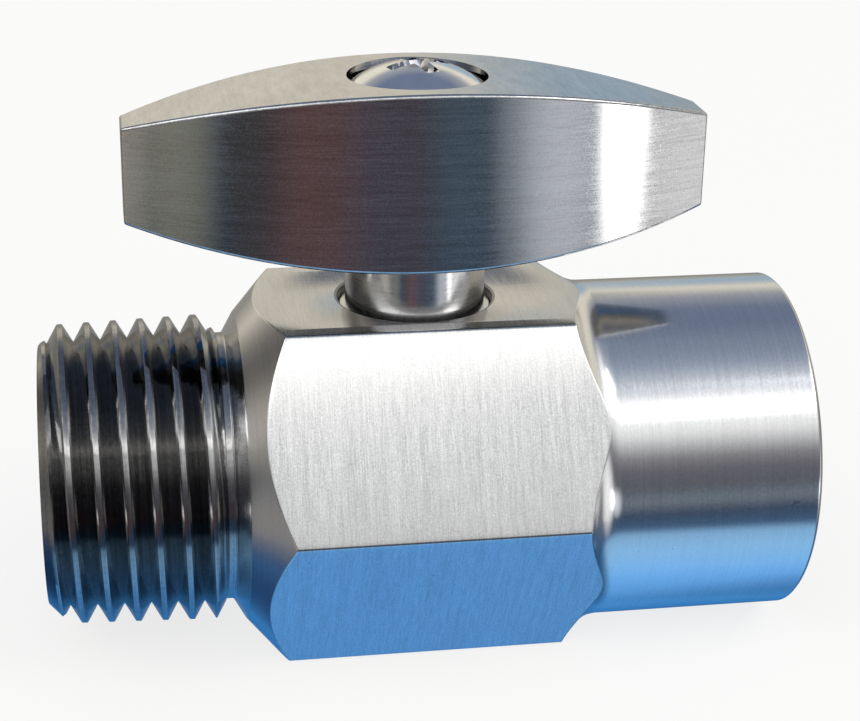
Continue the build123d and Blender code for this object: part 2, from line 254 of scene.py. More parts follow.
def make_thread_tree():
    """Radius = the crest's cone less the groove's depth, cut back by a lip at each end."""
    sockets = {"Geometry": "NodeSocketGeometry"}
    sockets.update({label: "NodeSocketFloat" for label in THREAD_SIZES})
    sockets["Material"] = "NodeSocketMaterial"
    tree, given, out = new_group(
        "wind_thread", "GeometryNodeTree", sockets, {"Geometry": "NodeSocketGeometry"}
    )

    def step(operation, *values):
        return calc(tree, operation, *values)

    here = tree.nodes.new("GeometryNodeInputPosition").outputs[0]
    place = add_node(tree, "ShaderNodeSeparateXYZ", Vector=here)
    angle, along = place.outputs["X"], place.outputs["Y"]
    turns = step("DIVIDE", angle, 2 * math.pi)
    climbed = step("MULTIPLY_ADD", step("ADD", turns, along), given["Pitch"], given["Crest Start"])
    x = step("MAXIMUM", step("MINIMUM", climbed, given["End"]), given["Start"])

    from_crest = step("SUBTRACT", x, given["Crest Start"])
    crest_cone = step("MULTIPLY_ADD", from_crest, given["Crest Taper"], given["Crest Radius"])
    crest = step("MULTIPLY", crest_cone, given["Side"])
    root_cone = step("MULTIPLY_ADD", from_crest, given["Root Taper"], given["Root Radius"])
    root = step("MULTIPLY", root_cone, given["Side"])
    phase = step("SUBTRACT", step("DIVIDE", from_crest, given["Pitch"]), turns)
    away = step("MULTIPLY", step("PINGPONG", phase, 0.5), given["Pitch"])
    past_flat = step("SUBTRACT", away, step("DIVIDE", given["Crest Flat"], 2))
    flank = step("MULTIPLY", step("SMOOTH_MAX", past_flat, 0, given["Rounding"]), flank_slope)
    deepest = step("SUBTRACT", crest, root)
    past_start = step("SUBTRACT", x, given["Start"])
    faded = step("DIVIDE", step("MULTIPLY", past_start, deepest), given["Fade In"])
    drop = step("MINIMUM", step("SMOOTH_MIN", flank, deepest, given["Rounding"]), faded)
    thread = step("SUBTRACT", crest, drop)

    start_edge = step("MULTIPLY", given["Start Lip Radius"], given["Side"])
    start_lip = step("MULTIPLY_ADD", past_start, given["Start Lip Slope"], start_edge)
    end_edge = step("MULTIPLY", given["End Lip Radius"], given["Side"])
    before_end = step("SUBTRACT", given["End"], x)
    end_lip = step("MULTIPLY_ADD", before_end, given["End Lip Slope"], end_edge)
    lowest = step("MINIMUM", step("MINIMUM", thread, start_lip), end_lip)
    radius = step("MULTIPLY", lowest, given["Side"])

    y = step("MULTIPLY", radius, step("COSINE", angle))
    z = step("MULTIPLY", radius, step("SINE", angle))
    wound = add_node(tree, "ShaderNodeCombineXYZ", X=x, Y=y, Z=z)
    moved = add_node(
        tree, "GeometryNodeSetPosition", Geometry=given["Geometry"], Position=wound.outputs[0]
    )
    merged = add_node(
        tree, "GeometryNodeMergeByDistance", Geometry=moved.outputs[0], Distance=merge_gap
    )
    real = add_node(tree, "GeometryNodeRealizeInstances", Geometry=merged.outputs[0])
    coated = add_node(
        tree, "GeometryNodeSetMaterial", Geometry=real.outputs[0], Material=given["Material"]
    )
    feed(tree, out.inputs[0], coated.outputs[0])
    return tree


thread_tree = make_thread_tree()
print("thread tree:", len(thread_tree.nodes), "nodes")

# %% [markdown]
# The columns of the sheet, and of every turned surface, stand at the same angles, so that
# the surfaces meet point to point. They crowd beside the hexagon's six corners, where each
# corner is rounded by a few hundredths of a millimetre: no real edge is perfectly sharp, and
# the bright line along an edge is what makes metal look solid. Polishing by hand also leaves
# each flat bowed by a few hundredths, so the light along its upper edge fades slowly.

# %% Choose the angles of the columns
corner_softening = 0.14 * mm  # length of flat that each rounded corner takes
flat_bow = 0.05 * mm  # each flat is this much lower along its edges
columns_on_flat = 22
half_side = hex_radius * math.tan(math.pi / 6)


def column_angles():
    """Angles from 0 up to a full turn, close together beside the hexagon's corners."""
    near = [0, 0.045 * mm, 0.09 * mm, corner_softening, 3 * corner_softening]
    near_angles = [math.atan((half_side - step) / hex_radius) for step in near]
    even = np.linspace(near_angles[-1], -near_angles[-1], columns_on_flat)
    side = np.unique(np.concatenate([even, near_angles, [-a for a in near_angles[1:]]]).round(9))
    turn = np.concatenate([side + math.radians(30 + 60 * k) for k in range(6)])
    return np.sort(turn)


angles = column_angles()
print(len(angles), "columns around the axis")


def hexagon_radius(angle):
    """Distance from the axis to the hexagon bar's surface at an angle, corners rounded."""
    sixth = math.pi / 3
    from_flat = (angle % sixth) - sixth / 2
    across = hex_radius * np.tan(np.abs(from_flat)) / half_side
    flat = (hex_radius - flat_bow * across**4) / np.cos(from_flat)
    from_corner = np.abs(sixth / 2 - np.abs(from_flat))
    rounding = corner_softening / math.tan(math.pi / 6)
    centre = corner_radius - rounding / math.cos(math.pi / 6)
    inside = np.clip(rounding**2 - (centre * np.sin(from_corner)) ** 2, 0, None)
    rounded = centre * np.cos(from_corner) + np.sqrt(inside) - flat_bow / math.cos(sixth / 2)
    return np.where(across > 1 - corner_softening / half_side, rounded, flat)


bar_radius = hexagon_radius(angles)
print(f"the bar is {2000 * bar_radius.max():.2f} mm across its rounded corners")

# %% Wind a thread
male_steps = (  # rows across one pitch, close together on the crest
    -0.5, -0.43, -0.3, -0.18, -0.125, -0.095, -0.06, 0, 0.06, 0.095, 0.125, 0.18, 0.3, 0.43,
)
female_steps = (-0.5, -0.42, -0.27, -0.14, -0.09, 0, 0.09, 0.14, 0.27, 0.42)


def flat_sheet(name, first_turn, last_turn, steps):
    """A flat grid: X is the angle around the axis, Y the place along the thread in turns."""
    around = np.append(angles, angles[0] + 2 * math.pi)
    rows = np.array([turn + s for turn in range(first_turn, last_turn + 1) for s in steps])
    corners = [(a, t, 0) for t in rows for a in around]
    wide = len(around)
    faces = [
        (r * wide + c, r * wide + c + 1, (r + 1) * wide + c + 1, (r + 1) * wide + c)
        for r in range(len(rows) - 1) for c in range(wide - 1)
    ]
    mesh = bpy.data.meshes.new(name)
    mesh.from_pydata(corners, [], faces)
    sheet = bpy.data.objects.new(name, mesh)
    bpy.context.scene.collection.objects.link(sheet)
    return sheet


def wind_thread(name, sizes, steps, material):
    """Winds a sheet with the thread tree and returns the plain mesh."""
    first = math.floor((sizes["Start"] - sizes["Crest Start"]) / pitch) - 1
    last = math.ceil((sizes["End"] - sizes["Crest Start"]) / pitch) + 1
    sheet = flat_sheet(name, first, last, steps)
    modifier = sheet.modifiers.new("wind", "NODES")
    modifier.node_group = thread_tree
    for item in thread_tree.interface.items_tree:
        if item.in_out == "INPUT" and item.name in sizes:
            modifier[item.identifier] = sizes[item.name]
        if item.in_out == "INPUT" and item.name == "Material":
            modifier[item.identifier] = material
    graph = bpy.context.evaluated_depsgraph_get()
    mesh = bpy.data.meshes.new_from_object(sheet.evaluated_get(graph))
    sheet.modifiers.remove(modifier)
    bpy.data.objects.remove(sheet)
    print(f"{name}: {len(mesh.polygons)} faces")
    return mesh


# %% [markdown]
# ## Shader groups
#
# Two effects come back on almost every steel surface: the fine parallel lines that a brushing
# belt or a turning tool leaves, and the small scratches and pits of handling. Each is one node
# group that gives plain masks, and each material decides how strongly to use them.

# %% Parallel tool lines
VALUE, VECTOR = "NodeSocketFloat", "NodeSocketVector"


def stretched_noise(tree, vector, scale, stretch, detail=2.0, rough=0.6):
    """Noise whose grain is stretched: stretch is the grain's fineness along X, Y and Z."""
    scaled = add_node(tree, "ShaderNodeVectorMath", {"operation": "MULTIPLY"})
    feed(tree, scaled.inputs[0], vector)
    feed(tree, scaled.inputs[1], stretch)
    noise = add_node(
        tree, "ShaderNodeTexNoise",
        Vector=scaled.outputs[0], Scale=scale, Detail=detail, Roughness=rough,
    )
    return noise.outputs[0]


def make_tool_lines():
    """Lines: the grooves' height. Tone: lines, broad streaks and grain together, from 0 to 1."""
    tree, given, out = new_group(
        "tool_lines", "ShaderNodeTree",
        {"Vector": VECTOR, "Fineness": VECTOR, "Scale": VALUE, "Grain": VALUE, "Contrast": VALUE},
        {"Lines": VALUE, "Tone": VALUE},
    )
    fine = stretched_noise(tree, given["Vector"], given["Scale"], given["Fineness"], 3.0, 0.7)
    wide = calc(tree, "MULTIPLY", given["Scale"], 0.2)
    broad = stretched_noise(tree, given["Vector"], wide, given["Fineness"], 2.0, 0.5)
    grain = stretched_noise(tree, given["Vector"], given["Scale"], (0.6, 0.6, 0.6), 1.0, 0.5)
    lined = calc(tree, "MULTIPLY_ADD", broad, 0.3, calc(tree, "MULTIPLY", fine, 0.7))
    off_lines = calc(tree, "SUBTRACT", lined, 0.5)
    off_grain = calc(tree, "MULTIPLY", calc(tree, "SUBTRACT", grain, 0.5), given["Grain"])
    off_middle = calc(tree, "ADD", off_lines, off_grain)
    tone = calc(tree, "MULTIPLY_ADD", off_middle, given["Contrast"], 0.5)
    feed(tree, out.inputs["Lines"], fine)
    feed(tree, out.inputs["Tone"], calc(tree, "MAXIMUM", calc(tree, "MINIMUM", tone, 1.0), 0.0))
    return tree


tool_lines = make_tool_lines()
print("tool lines:", len(tool_lines.nodes), "nodes")

# %% Scratches and pits


def make_handling_marks():
    """Scratches: thin wandering hairlines in patches. Pits: small round specks."""
    tree, given, out = new_group(
        "handling_marks", "ShaderNodeTree",
        {"Vector": VECTOR, "Scale": VALUE, "Scratch Width": VALUE, "Pit Share": VALUE},
        {"Scratches": VALUE, "Pits": VALUE},
    )
    noise = add_node(
        tree, "ShaderNodeTexNoise",
        Vector=given["Vector"], Scale=given["Scale"], Detail=1.0, Distortion=0.6,
    )
    off = calc(tree, "ABSOLUTE", calc(tree, "SUBTRACT", noise.outputs[0], 0.5))
    hairline = calc(tree, "LESS_THAN", off, given["Scratch Width"])
    patch_scale = calc(tree, "MULTIPLY", given["Scale"], 2.7)
    patches = add_node(tree, "ShaderNodeTexNoise", Vector=given["Vector"], Scale=patch_scale)
    shown = calc(tree, "GREATER_THAN", patches.outputs[0], 0.6)
    feed(tree, out.inputs["Scratches"], calc(tree, "MULTIPLY", hairline, shown))
    cell_scale = calc(tree, "MULTIPLY", given["Scale"], 6.0)
    cells = add_node(tree, "ShaderNodeTexVoronoi", Vector=given["Vector"], Scale=cell_scale)
    chosen = add_node(tree, "ShaderNodeSeparateColor", Color=cells.outputs["Color"])
    rare = calc(tree, "LESS_THAN", chosen.outputs[0], given["Pit Share"])
    pit_size = calc(tree, "MULTIPLY", chosen.outputs[1], 0.15)
    small = calc(tree, "LESS_THAN", cells.outputs["Distance"], pit_size)
    feed(tree, out.inputs["Pits"], calc(tree, "MULTIPLY", rare, small))
    return tree


handling_marks = make_handling_marks()
print("handling marks:", len(handling_marks.nodes), "nodes")

# %% [markdown]
# ## Metals
#
# One function makes every steel finish. What differs is the direction and fineness of the
# tool lines, how rough the metal is between them, and how far its highlights are drawn out.
# Brushed metal spreads a highlight across its lines, which the shader calls anisotropy.

# %% Make a steel material


def new_material(name):
    """A material with its tree and its main shader."""
    material = bpy.data.materials.new(name)
    material.use_nodes = True
    return material, material.node_tree, material.node_tree.nodes["Principled BSDF"]


def mix_colour(tree, share, first, second):
    """A colour between two others, by a mask."""
    mix = add_node(tree, "ShaderNodeMix", {"data_type": "RGBA"})
    feed(tree, mix.inputs[0], share)
    feed(tree, mix.inputs[6], first)
    feed(tree, mix.inputs[7], second)
    return mix.outputs[2]


def grey(level):
    """A stainless grey, a little warmer than neutral."""
    return (level, 0.99 * level, 0.98 * level, 1)


def blend_values(tree, value, low, high):
    """Maps a mask from 0..1 to low..high."""
    return calc(tree, "MULTIPLY_ADD", value, high - low, low)


def steel(
    name, tones, rough, fineness, scale, bump, grain=0.3, contrast=2.0, brushed=0.0, axis="X"
):
    """Stainless steel: tones and rough are (dark, light) pairs, and bump is in metres."""
    material, tree, shader = new_material(name)
    place = tree.nodes.new("ShaderNodeTexCoord").outputs["Object"]
    lines = add_node(
        tree, "ShaderNodeGroup", {"node_tree": tool_lines},
        Vector=place, Fineness=fineness, Scale=scale, Grain=grain, Contrast=contrast,
    )
    worn = add_node(
        tree, "ShaderNodeGroup", {"node_tree": handling_marks},
        Vector=place, Scale=420.0, Scratch_Width=0.004, Pit_Share=0.008,
    )
    tone, scratches, pits = lines.outputs["Tone"], worn.outputs["Scratches"], worn.outputs["Pits"]
    shade = mix_colour(tree, tone, grey(tones[0]), grey(tones[1]))
    pitted = mix_colour(tree, calc(tree, "MULTIPLY", pits, 0.75), shade, grey(0.05))
    feed(tree, shader.inputs["Base Color"], pitted)
    shader.inputs["Metallic"].default_value = 1.0
    rubbed = blend_values(tree, tone, rough[0], rough[1])
    feed(tree, shader.inputs["Roughness"], calc(tree, "MULTIPLY_ADD", scratches, -0.1, rubbed))
    dented = calc(tree, "MULTIPLY_ADD", pits, -2.0, lines.outputs["Lines"])
    scratched = calc(tree, "MULTIPLY_ADD", scratches, -0.6, dented)
    relief = add_node(tree, "ShaderNodeBump", Height=scratched, Distance=bump, Strength=1.0)
    feed(tree, shader.inputs["Normal"], relief.outputs[0])
    if brushed:
        shader.inputs["Anisotropic"].default_value = brushed
        shader.inputs["Anisotropic Rotation"].default_value = 0.25
        around = add_node(tree, "ShaderNodeTangent", {"direction_type": "RADIAL", "axis": axis})
        feed(tree, shader.inputs["Tangent"], around.outputs[0])
    return material


# %% Finishes of the body
ACROSS = (1.0, 0.04, 0.04)  # lines that run round the flow axis: fine along X only
TURNING = (1.0, 0.008, 0.008)
flat_steel = steel(
    "brushed_flats", tones=(0.38, 0.60), rough=(0.10, 0.20), fineness=ACROSS, scale=15000.0,
    bump=0.7e-6, grain=0.5, contrast=2.3, brushed=0.3,
)
turned_steel = steel(
    "turned_steel", tones=(0.60, 0.76), rough=(0.11, 0.20), fineness=TURNING, scale=10000.0,
    bump=0.3e-6, grain=0.5, contrast=1.3, brushed=0.5,
)
# The threads' colour is made far darker than steel's own: painted shade, standing in for the darkness that
# the flanks show between the grooves.
thread_painted_shade_steel = steel(
    "thread_painted_shade_steel", tones=(0.17, 0.42), rough=(0.04, 0.14), fineness=TURNING, scale=6000.0,
    bump=0.5e-6,
)
bore_steel = steel(
    "bored_steel", tones=(0.20, 0.34), rough=(0.25, 0.40), fineness=TURNING, scale=5000.0,
    bump=1.2e-6,
)
body_finishes = [flat_steel, turned_steel, thread_painted_shade_steel, bore_steel]
FLATS, TURNED, THREADED, BORED = range(4)
print("body finishes:", [m.name for m in body_finishes])

# %% [markdown]
# ## The body
#
# The body is one closed mesh. Each row of points goes once round the axis; each column is
# the outline that a lathe would cut at that angle, limited by the hexagon bar. Where the
# cone or the blend cuts a flat, the row follows the cut exactly, so the curved edges stay
# crisp at any zoom. The two threads are wound separately and joined ring to ring.

# %% Round the corners of an outline
face_keeper = 2.5  # a row this many corner sizes away keeps the face beside a corner straight


def soften(points, columns):
    """Rows of (x, radius, finish) along an outline, with each corner rounded by its size."""
    places = [
        np.stack([np.broadcast_to(x, columns), np.broadcast_to(r, columns)])
        for x, r, _, _ in points
    ]
    rows = []
    for k, (_, _, size, finish) in enumerate(points):
        here = places[k]
        if not size:
            rows.append((here, finish))
            continue
        before = places[k - 1] - here
        after = places[k + 1] - here
        back = before / np.linalg.norm(before, axis=0)
        ahead = after / np.linalg.norm(after, axis=0)
        old = points[k - 1][3]
        rows.append((here + back * face_keeper * size, old))
        for t in (0.0, 0.25, 0.5, 0.75, 1.0):
            bend = here + back * size * (1 - t) ** 2 + ahead * size * t**2
            rows.append((bend, old if t < 0.5 else finish))
        rows.append((here + ahead * face_keeper * size, finish))
    return rows


def outer_outline():
    """The body's outside from the thread's relief to the female mouth."""
    rise = (cone_end_x - shoulder_x) / (corner_radius - shoulder_radius)
    cone_meets_bar = shoulder_x + (bar_radius - shoulder_radius) * rise
    hollow = socket_radius + blend_radius
    blend_end_x = blend_corner_x + math.sqrt(blend_radius**2 - (hollow - corner_radius) ** 2)
    lean = np.arccos((hollow - bar_radius) / blend_radius)
    points = [
        (neck_start_x, neck_radius, 0, THREADED),
        (shoulder_x - (shoulder_radius - neck_radius) / flank_slope, neck_radius, 0.12 * mm, TURNED),
        (shoulder_x, shoulder_radius, 0.1 * mm, TURNED),
        (cone_meets_bar, bar_radius, 0.09 * mm, FLATS),
        (blend_end_x - blend_radius * np.sin(lean), bar_radius, 0.06 * mm, TURNED),
    ]
    for share in (0.8, 0.6, 0.4, 0.2, 0):
        x = blend_end_x - blend_radius * np.sin(lean * share)
        points.append((x, hollow - blend_radius * np.cos(lean * share), 0, TURNED))
    return points + [
        (outlet_x - edge_break, socket_radius, 0.07 * mm, TURNED),
        (outlet_x, socket_radius - edge_break, 0.07 * mm, TURNED),
        (outlet_x, female_mouth_radius, 0, THREADED),
    ]


def inner_outline():
    """The body's inside from the socket's floor through to the male end face."""
    drill_end_x = inlet_bore_end_x + (inlet_bore_radius - waterway_radius) / drill_slope
    return [
        (socket_floor_x, female_crest_radius, 0, BORED),
        (socket_floor_x, retainer_radius, 0, BORED),
        (pocket_end_x, retainer_radius, 0, BORED),
        (pocket_end_x, cavity_radius, 0, BORED),
        (-seat_back_x, cavity_radius, 0, BORED),
        (-seat_back_x, waterway_radius, 0, BORED),
        (drill_end_x, waterway_radius, 0, BORED),
        (inlet_bore_end_x, inlet_bore_radius, 0, BORED),
        (inlet_x + edge_break, inlet_bore_radius, 0.06 * mm, BORED),
        (inlet_x, inlet_bore_radius + edge_break, 0.06 * mm, TURNED),
        (inlet_x, inlet_mouth_radius, 0, THREADED),
    ]


print(len(outer_outline()) + len(inner_outline()), "corners in the body's outline")

# %% Turn the outlines and join the threads


def turned_faces(outline):
    """Corner positions, quads and finishes of a surface turned around the X axis."""
    rows = soften(outline, len(angles))
    wide = len(angles)
    corners = np.concatenate(
        [np.stack([p[0], p[1] * np.cos(angles), p[1] * np.sin(angles)], axis=1) for p, _ in rows]
    )
    faces, finishes = [], []
    for r in range(len(rows) - 1):
        for c in range(wide):
            d = (c + 1) % wide
            faces.append((r * wide + c, r * wide + d, (r + 1) * wide + d, (r + 1) * wide + c))
        finishes += [rows[r][1]] * wide
    return corners, faces, finishes


def turned_mesh(name, outline):
    """A mesh turned from an outline, with its finishes."""
    corners, faces, finishes = turned_faces(outline)
    mesh = bpy.data.meshes.new(name)
    mesh.from_pydata(corners.tolist(), [], faces)
    mesh.polygons.foreach_set("material_index", finishes)
    return mesh


def set_finish(mesh, index):
    """Gives a whole mesh one of the body's finishes."""
    mesh.polygons.foreach_set("material_index", [index] * len(mesh.polygons))
    return mesh


def weld(name, meshes, gap=2e-6):
    """Joins meshes whose borders coincide into one closed mesh with its faces outwards."""
    joined = bmesh.new()
    for part in meshes:
        joined.from_mesh(part)
    bmesh.ops.remove_doubles(joined, verts=joined.verts, dist=gap)
    bmesh.ops.dissolve_degenerate(joined, edges=joined.edges, dist=gap / 4)
    bmesh.ops.recalc_face_normals(joined, faces=joined.faces)
    open_edges = sum(not edge.is_manifold for edge in joined.edges)
    mesh = bpy.data.meshes.new(name)
    joined.to_mesh(mesh)
    joined.free()
    print(f"{name}: {len(mesh.polygons)} faces, {open_edges} open edges")
    return mesh


male_sizes = {
    "Pitch": pitch, "Crest Start": male_crest_x - pitch / 4, "Crest Radius": male_crest_radius,
    "Crest Taper": taper, "Root Radius": male_crest_radius - male_depth, "Root Taper": taper,
    "Crest Flat": crest_flat, "Rounding": thread_rounding, "Start": inlet_x, "End": neck_start_x,
    "Start Lip Radius": inlet_mouth_radius, "Start Lip Slope": lead_in_slope, "End Lip Radius": neck_radius,
    "End Lip Slope": flank_slope, "Fade In": male_fade, "Side": 1.0,
}
female_sizes = {
    "Pitch": pitch, "Crest Start": female_crest_x, "Crest Radius": female_crest_radius,
    "Crest Taper": 0.0, "Root Radius": female_root_radius, "Root Taper": taper,
    "Crest Flat": crest_flat, "Rounding": thread_rounding, "Start": socket_floor_x, "End": outlet_x,
    "Start Lip Radius": 0.0, "Start Lip Slope": 0.0, "End Lip Radius": female_mouth_radius,
    "End Lip Slope": mouth_slope, "Fade In": female_fade, "Side": -1.0,
}
male_thread = wind_thread("male_thread", male_sizes, male_steps, thread_painted_shade_steel)
set_finish(male_thread, THREADED)
female_thread = wind_thread("female_thread", female_sizes, female_steps, thread_painted_shade_steel)
set_finish(female_thread, THREADED)
outside = turned_mesh("outside", outer_outline())
inside = turned_mesh("inside", inner_outline())
body_mesh = weld("body_blank", [male_thread, female_thread, outside, inside])

# %% [markdown]
# The stem's hole and the pin's hole are drilled last, as on the real body, with closed
# cutters. The Manifold solver is exact and quick as long as both meshes are closed.

# %% Drill the stem hole and the pin hole
drill_reach = 1.0 * mm  # how far a cutter runs past the face that it opens


def round_cutter(name, outline, place=Matrix.Identity(4), count=120):
    """A closed solid turned about Z from (radius, height) points, top and bottom capped."""
    cutter = bmesh.new()
    rings = []
    for radius, height in outline:
        turns = [2 * math.pi * k / count for k in range(count)]
        ring = [(radius * math.cos(t), radius * math.sin(t), height) for t in turns]
        rings.append([cutter.verts.new(corner) for corner in ring])
    for low, high in zip(rings, rings[1:]):
        for k in range(count):
            cutter.faces.new((low[k], low[(k + 1) % count], high[(k + 1) % count], high[k]))
    cutter.faces.new(list(reversed(rings[0])))
    cutter.faces.new(rings[-1])
    for face in cutter.faces:
        face.material_index = BORED
    cutter.transform(place)
    bmesh.ops.recalc_face_normals(cutter, faces=cutter.faces)
    mesh = bpy.data.meshes.new(name)
    cutter.to_mesh(mesh)
    cutter.free()
    solid = bpy.data.objects.new(name, mesh)
    bpy.context.scene.collection.objects.link(solid)
    return solid


def subtract(obj, cutters):
    """Cuts every cutter from the object, and leaves a plain mesh."""
    for cutter in cutters:
        cut = obj.modifiers.new(cutter.name, "BOOLEAN")
        cut.operation = "DIFFERENCE"
        cut.solver = "MANIFOLD"
        cut.object = cutter
    graph = bpy.context.evaluated_depsgraph_get()
    obj.data = bpy.data.meshes.new_from_object(obj.evaluated_get(graph))
    obj.modifiers.clear()
    for cutter in cutters:
        bpy.data.objects.remove(cutter)


def show_edges(mesh, degrees=33):
    """Smooth shading that breaks at real edges."""
    mesh.shade_smooth()
    mesh.set_sharp_from_angle(angle=math.radians(degrees))


valve = bpy.data.objects.new("valve_body_turned", body_mesh)
bpy.context.scene.collection.objects.link(valve)
for finish in body_finishes:
    valve.data.materials.append(finish)
rim = edge_break
stem_cutter = round_cutter(
    "stem_hole",
    [
        (stem_hole_radius, 0), (stem_hole_radius, hex_radius - rim),
        (stem_hole_radius + 0.3 * rim, hex_radius - 0.3 * rim),
        (stem_hole_radius + rim, hex_radius), (stem_hole_radius + 2 * rim, hex_radius + rim),
    ],
)
pin_height = (pin_low.z + pin_high.z) / 2
pin_radius = (pin_high.x - pin_low.x) / 2 + pin_hole_gap
along_y = Matrix.Translation((0, 0, pin_height)) @ Matrix.Rotation(math.radians(-90), 4, "X")
pin_outline = [(pin_radius, 0), (pin_radius, corner_radius + drill_reach)]
pin_cutter = round_cutter("pin_hole", pin_outline, along_y, count=48)
subtract(valve, [stem_cutter, pin_cutter])
show_edges(valve.data)
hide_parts("valve_body")
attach(valve, "body")
print("body:", len(valve.data.polygons), "faces,", len(valve.data.materials), "finishes")

# %% [markdown]
# ## The other pieces
#
# The handle, the stem, the screw and the pieces inside already have their exact shapes in
# the frame, down to the handle's rounded edges, so they keep those meshes and only get better
# metal.

# %% Finish the pieces of the frame
LENGTHWISE = (0.03, 0.03, 1.0)
EVEN = (1.0, 1.0, 1.0)
UPRIGHT = (0.02, 0.02, 1.0)
handle_steel = steel(
    "handle_steel", tones=(0.36, 0.60), rough=(0.07, 0.19), fineness=LENGTHWISE, scale=14000.0,
    bump=0.6e-6, grain=0.5, contrast=2.6, brushed=0.5, axis="Z",
)
stem_steel = steel(
    "stem_steel", tones=(0.50, 0.68), rough=(0.12, 0.24), fineness=UPRIGHT, scale=8000.0,
    bump=0.7e-6, brushed=0.3, axis="Z",
)
screw_steel = steel(
    "screw_steel", tones=(0.70, 0.80), rough=(0.05, 0.11), fineness=EVEN, scale=900.0,
    bump=0.3e-6,
)
ball_steel = steel(
    "ball_steel", tones=(0.74, 0.82), rough=(0.04, 0.08), fineness=EVEN, scale=700.0, bump=0.2e-6
)
retainer_steel = steel(
    "retainer_steel", tones=(0.52, 0.66), rough=(0.22, 0.34), fineness=TURNING, scale=7000.0,
    bump=1.0e-6,
)
spring_steel = steel(
    "spring_steel", tones=(0.26, 0.40), rough=(0.25, 0.40), fineness=EVEN, scale=3000.0,
    bump=2.0e-6,
)


def soft_material(name, colour, second, rough, scale, bump, weight):
    """PTFE or rubber: a slightly mottled plastic."""
    material, tree, shader = new_material(name)
    place = tree.nodes.new("ShaderNodeTexCoord").outputs["Object"]
    noise = add_node(tree, "ShaderNodeTexNoise", Vector=place, Scale=scale, Detail=4.0)
    mottle = noise.outputs[0]
    feed(tree, shader.inputs["Base Color"], mix_colour(tree, mottle, (*colour, 1), (*second, 1)))
    feed(tree, shader.inputs["Roughness"], blend_values(tree, mottle, rough - 0.06, rough + 0.06))
    relief = add_node(tree, "ShaderNodeBump", Height=mottle, Distance=bump, Strength=1.0)
    feed(tree, shader.inputs["Normal"], relief.outputs[0])
    shader.inputs["Subsurface Weight"].default_value = weight
    shader.inputs["Subsurface Scale"].default_value = 0.4 * mm
    return material


ptfe = soft_material(
    "ptfe", colour=(0.88, 0.88, 0.86), second=(0.80, 0.80, 0.78), rough=0.45, scale=2500.0,
    bump=3e-6, weight=0.3,
)
rubber = soft_material(
    "seal_rubber", colour=(0.018, 0.018, 0.018), second=(0.03, 0.03, 0.03), rough=0.5,
    scale=4000.0, bump=4e-6, weight=0.0,
)
node_finishes = {
    "handle": handle_steel, "stem": stem_steel, "handle_screw": screw_steel, "ball": ball_steel,
    "seat_retainer": retainer_steel, "lock_washer": spring_steel, "stop_pin": bore_steel,
    "inlet_seat": ptfe, "outlet_seat": ptfe, "retainer_o_ring": rubber,
    "lower_stem_o_ring": rubber, "upper_stem_o_ring": rubber,
}
for node, material in node_finishes.items():
    piece = frame["nodes"][node]
    piece.data.materials.clear()
    piece.data.materials.append(material)
print(len(node_finishes), "frame pieces refinished")

# %% [markdown]
# ## Floor and light
#
# Polished metal has hardly any colour of its own: it shows what surrounds it. So the light
# is a surround more than a lamp. A bright band stands in front above the horizon, a dark band
# at the horizon gives the metal its contrast, and a cool blue comes up from below. Round
# patches add what the handle and the cone pick up from single directions. The camera sees
# none of it: it sees a plain pale backdrop.

# %% Lay the floor
scene = bpy.context.scene
scene.view_settings.view_transform = "Standard"
floor_reach = 3.0
floor_z = body_low.z - 0.02 * mm


def make_floor():
    """A pale card under the valve that adds a little light of its own."""
    mesh = bpy.data.meshes.new("floor")
    signs = [(-1, -1), (1, -1), (1, 1), (-1, 1)]
    corners = [(floor_reach * x, floor_reach * y, floor_z) for x, y in signs]
    mesh.from_pydata(corners, [], [(0, 1, 2, 3)])
    floor = bpy.data.objects.new("floor", mesh)
    scene.collection.objects.link(floor)
    material, tree, shader = new_material("floor_card")
    place = tree.nodes.new("ShaderNodeTexCoord").outputs["Object"]
    noise = add_node(tree, "ShaderNodeTexNoise", Vector=place, Scale=3.0)
    tone = mix_colour(tree, noise.outputs[0], (0.23, 0.22, 0.20, 1), (0.24, 0.23, 0.21, 1))
    feed(tree, shader.inputs["Base Color"], tone)
    shader.inputs["Roughness"].default_value = 0.9
    shader.inputs["Specular IOR Level"].default_value = 0.0
    shader.inputs["Emission Color"].default_value = (1, 1, 1, 1)
    shader.inputs["Emission Strength"].default_value = 0.78
    mesh.materials.append(material)
    floor.visible_glossy = False
    floor.visible_shadow = False
    return floor


floor = make_floor()
print(f"floor at {1000 * floor_z:.2f} mm")

# %% Surround the valve with light
FRONT = (  # elevation, and the light's colour there, in front of the valve
    (-90, (0.16, 0.51, 1.16)),
    (-70, (0.25, 0.65, 1.28)),
    (-50, (0.33, 0.68, 1.10)),
    (-39, (0.30, 0.58, 0.92)),
    (-34, (0.06, 0.12, 0.23)),
    (-22, (0.05, 0.08, 0.14)),
    (-8, (0.12, 0.13, 0.16)),
    (5, (0.17, 0.17, 0.20)),
    (13, (0.30, 0.30, 0.32)),
    (20, (0.62, 0.64, 0.66)),
    (28, (1.08, 1.09, 1.10)),
    (33, (1.20, 1.24, 1.24)),
    (36, (1.20, 1.25, 1.25)),
    (38, (2.30, 2.30, 2.30)),
    (43, (2.60, 2.60, 2.60)),
    (48, (1.40, 1.42, 1.46)),
    (54, (0.76, 0.80, 0.90)),
    (66, (0.40, 0.48, 0.60)),
    (78, (0.26, 0.33, 0.47)),
    (90, (0.21, 0.27, 0.40)),
)
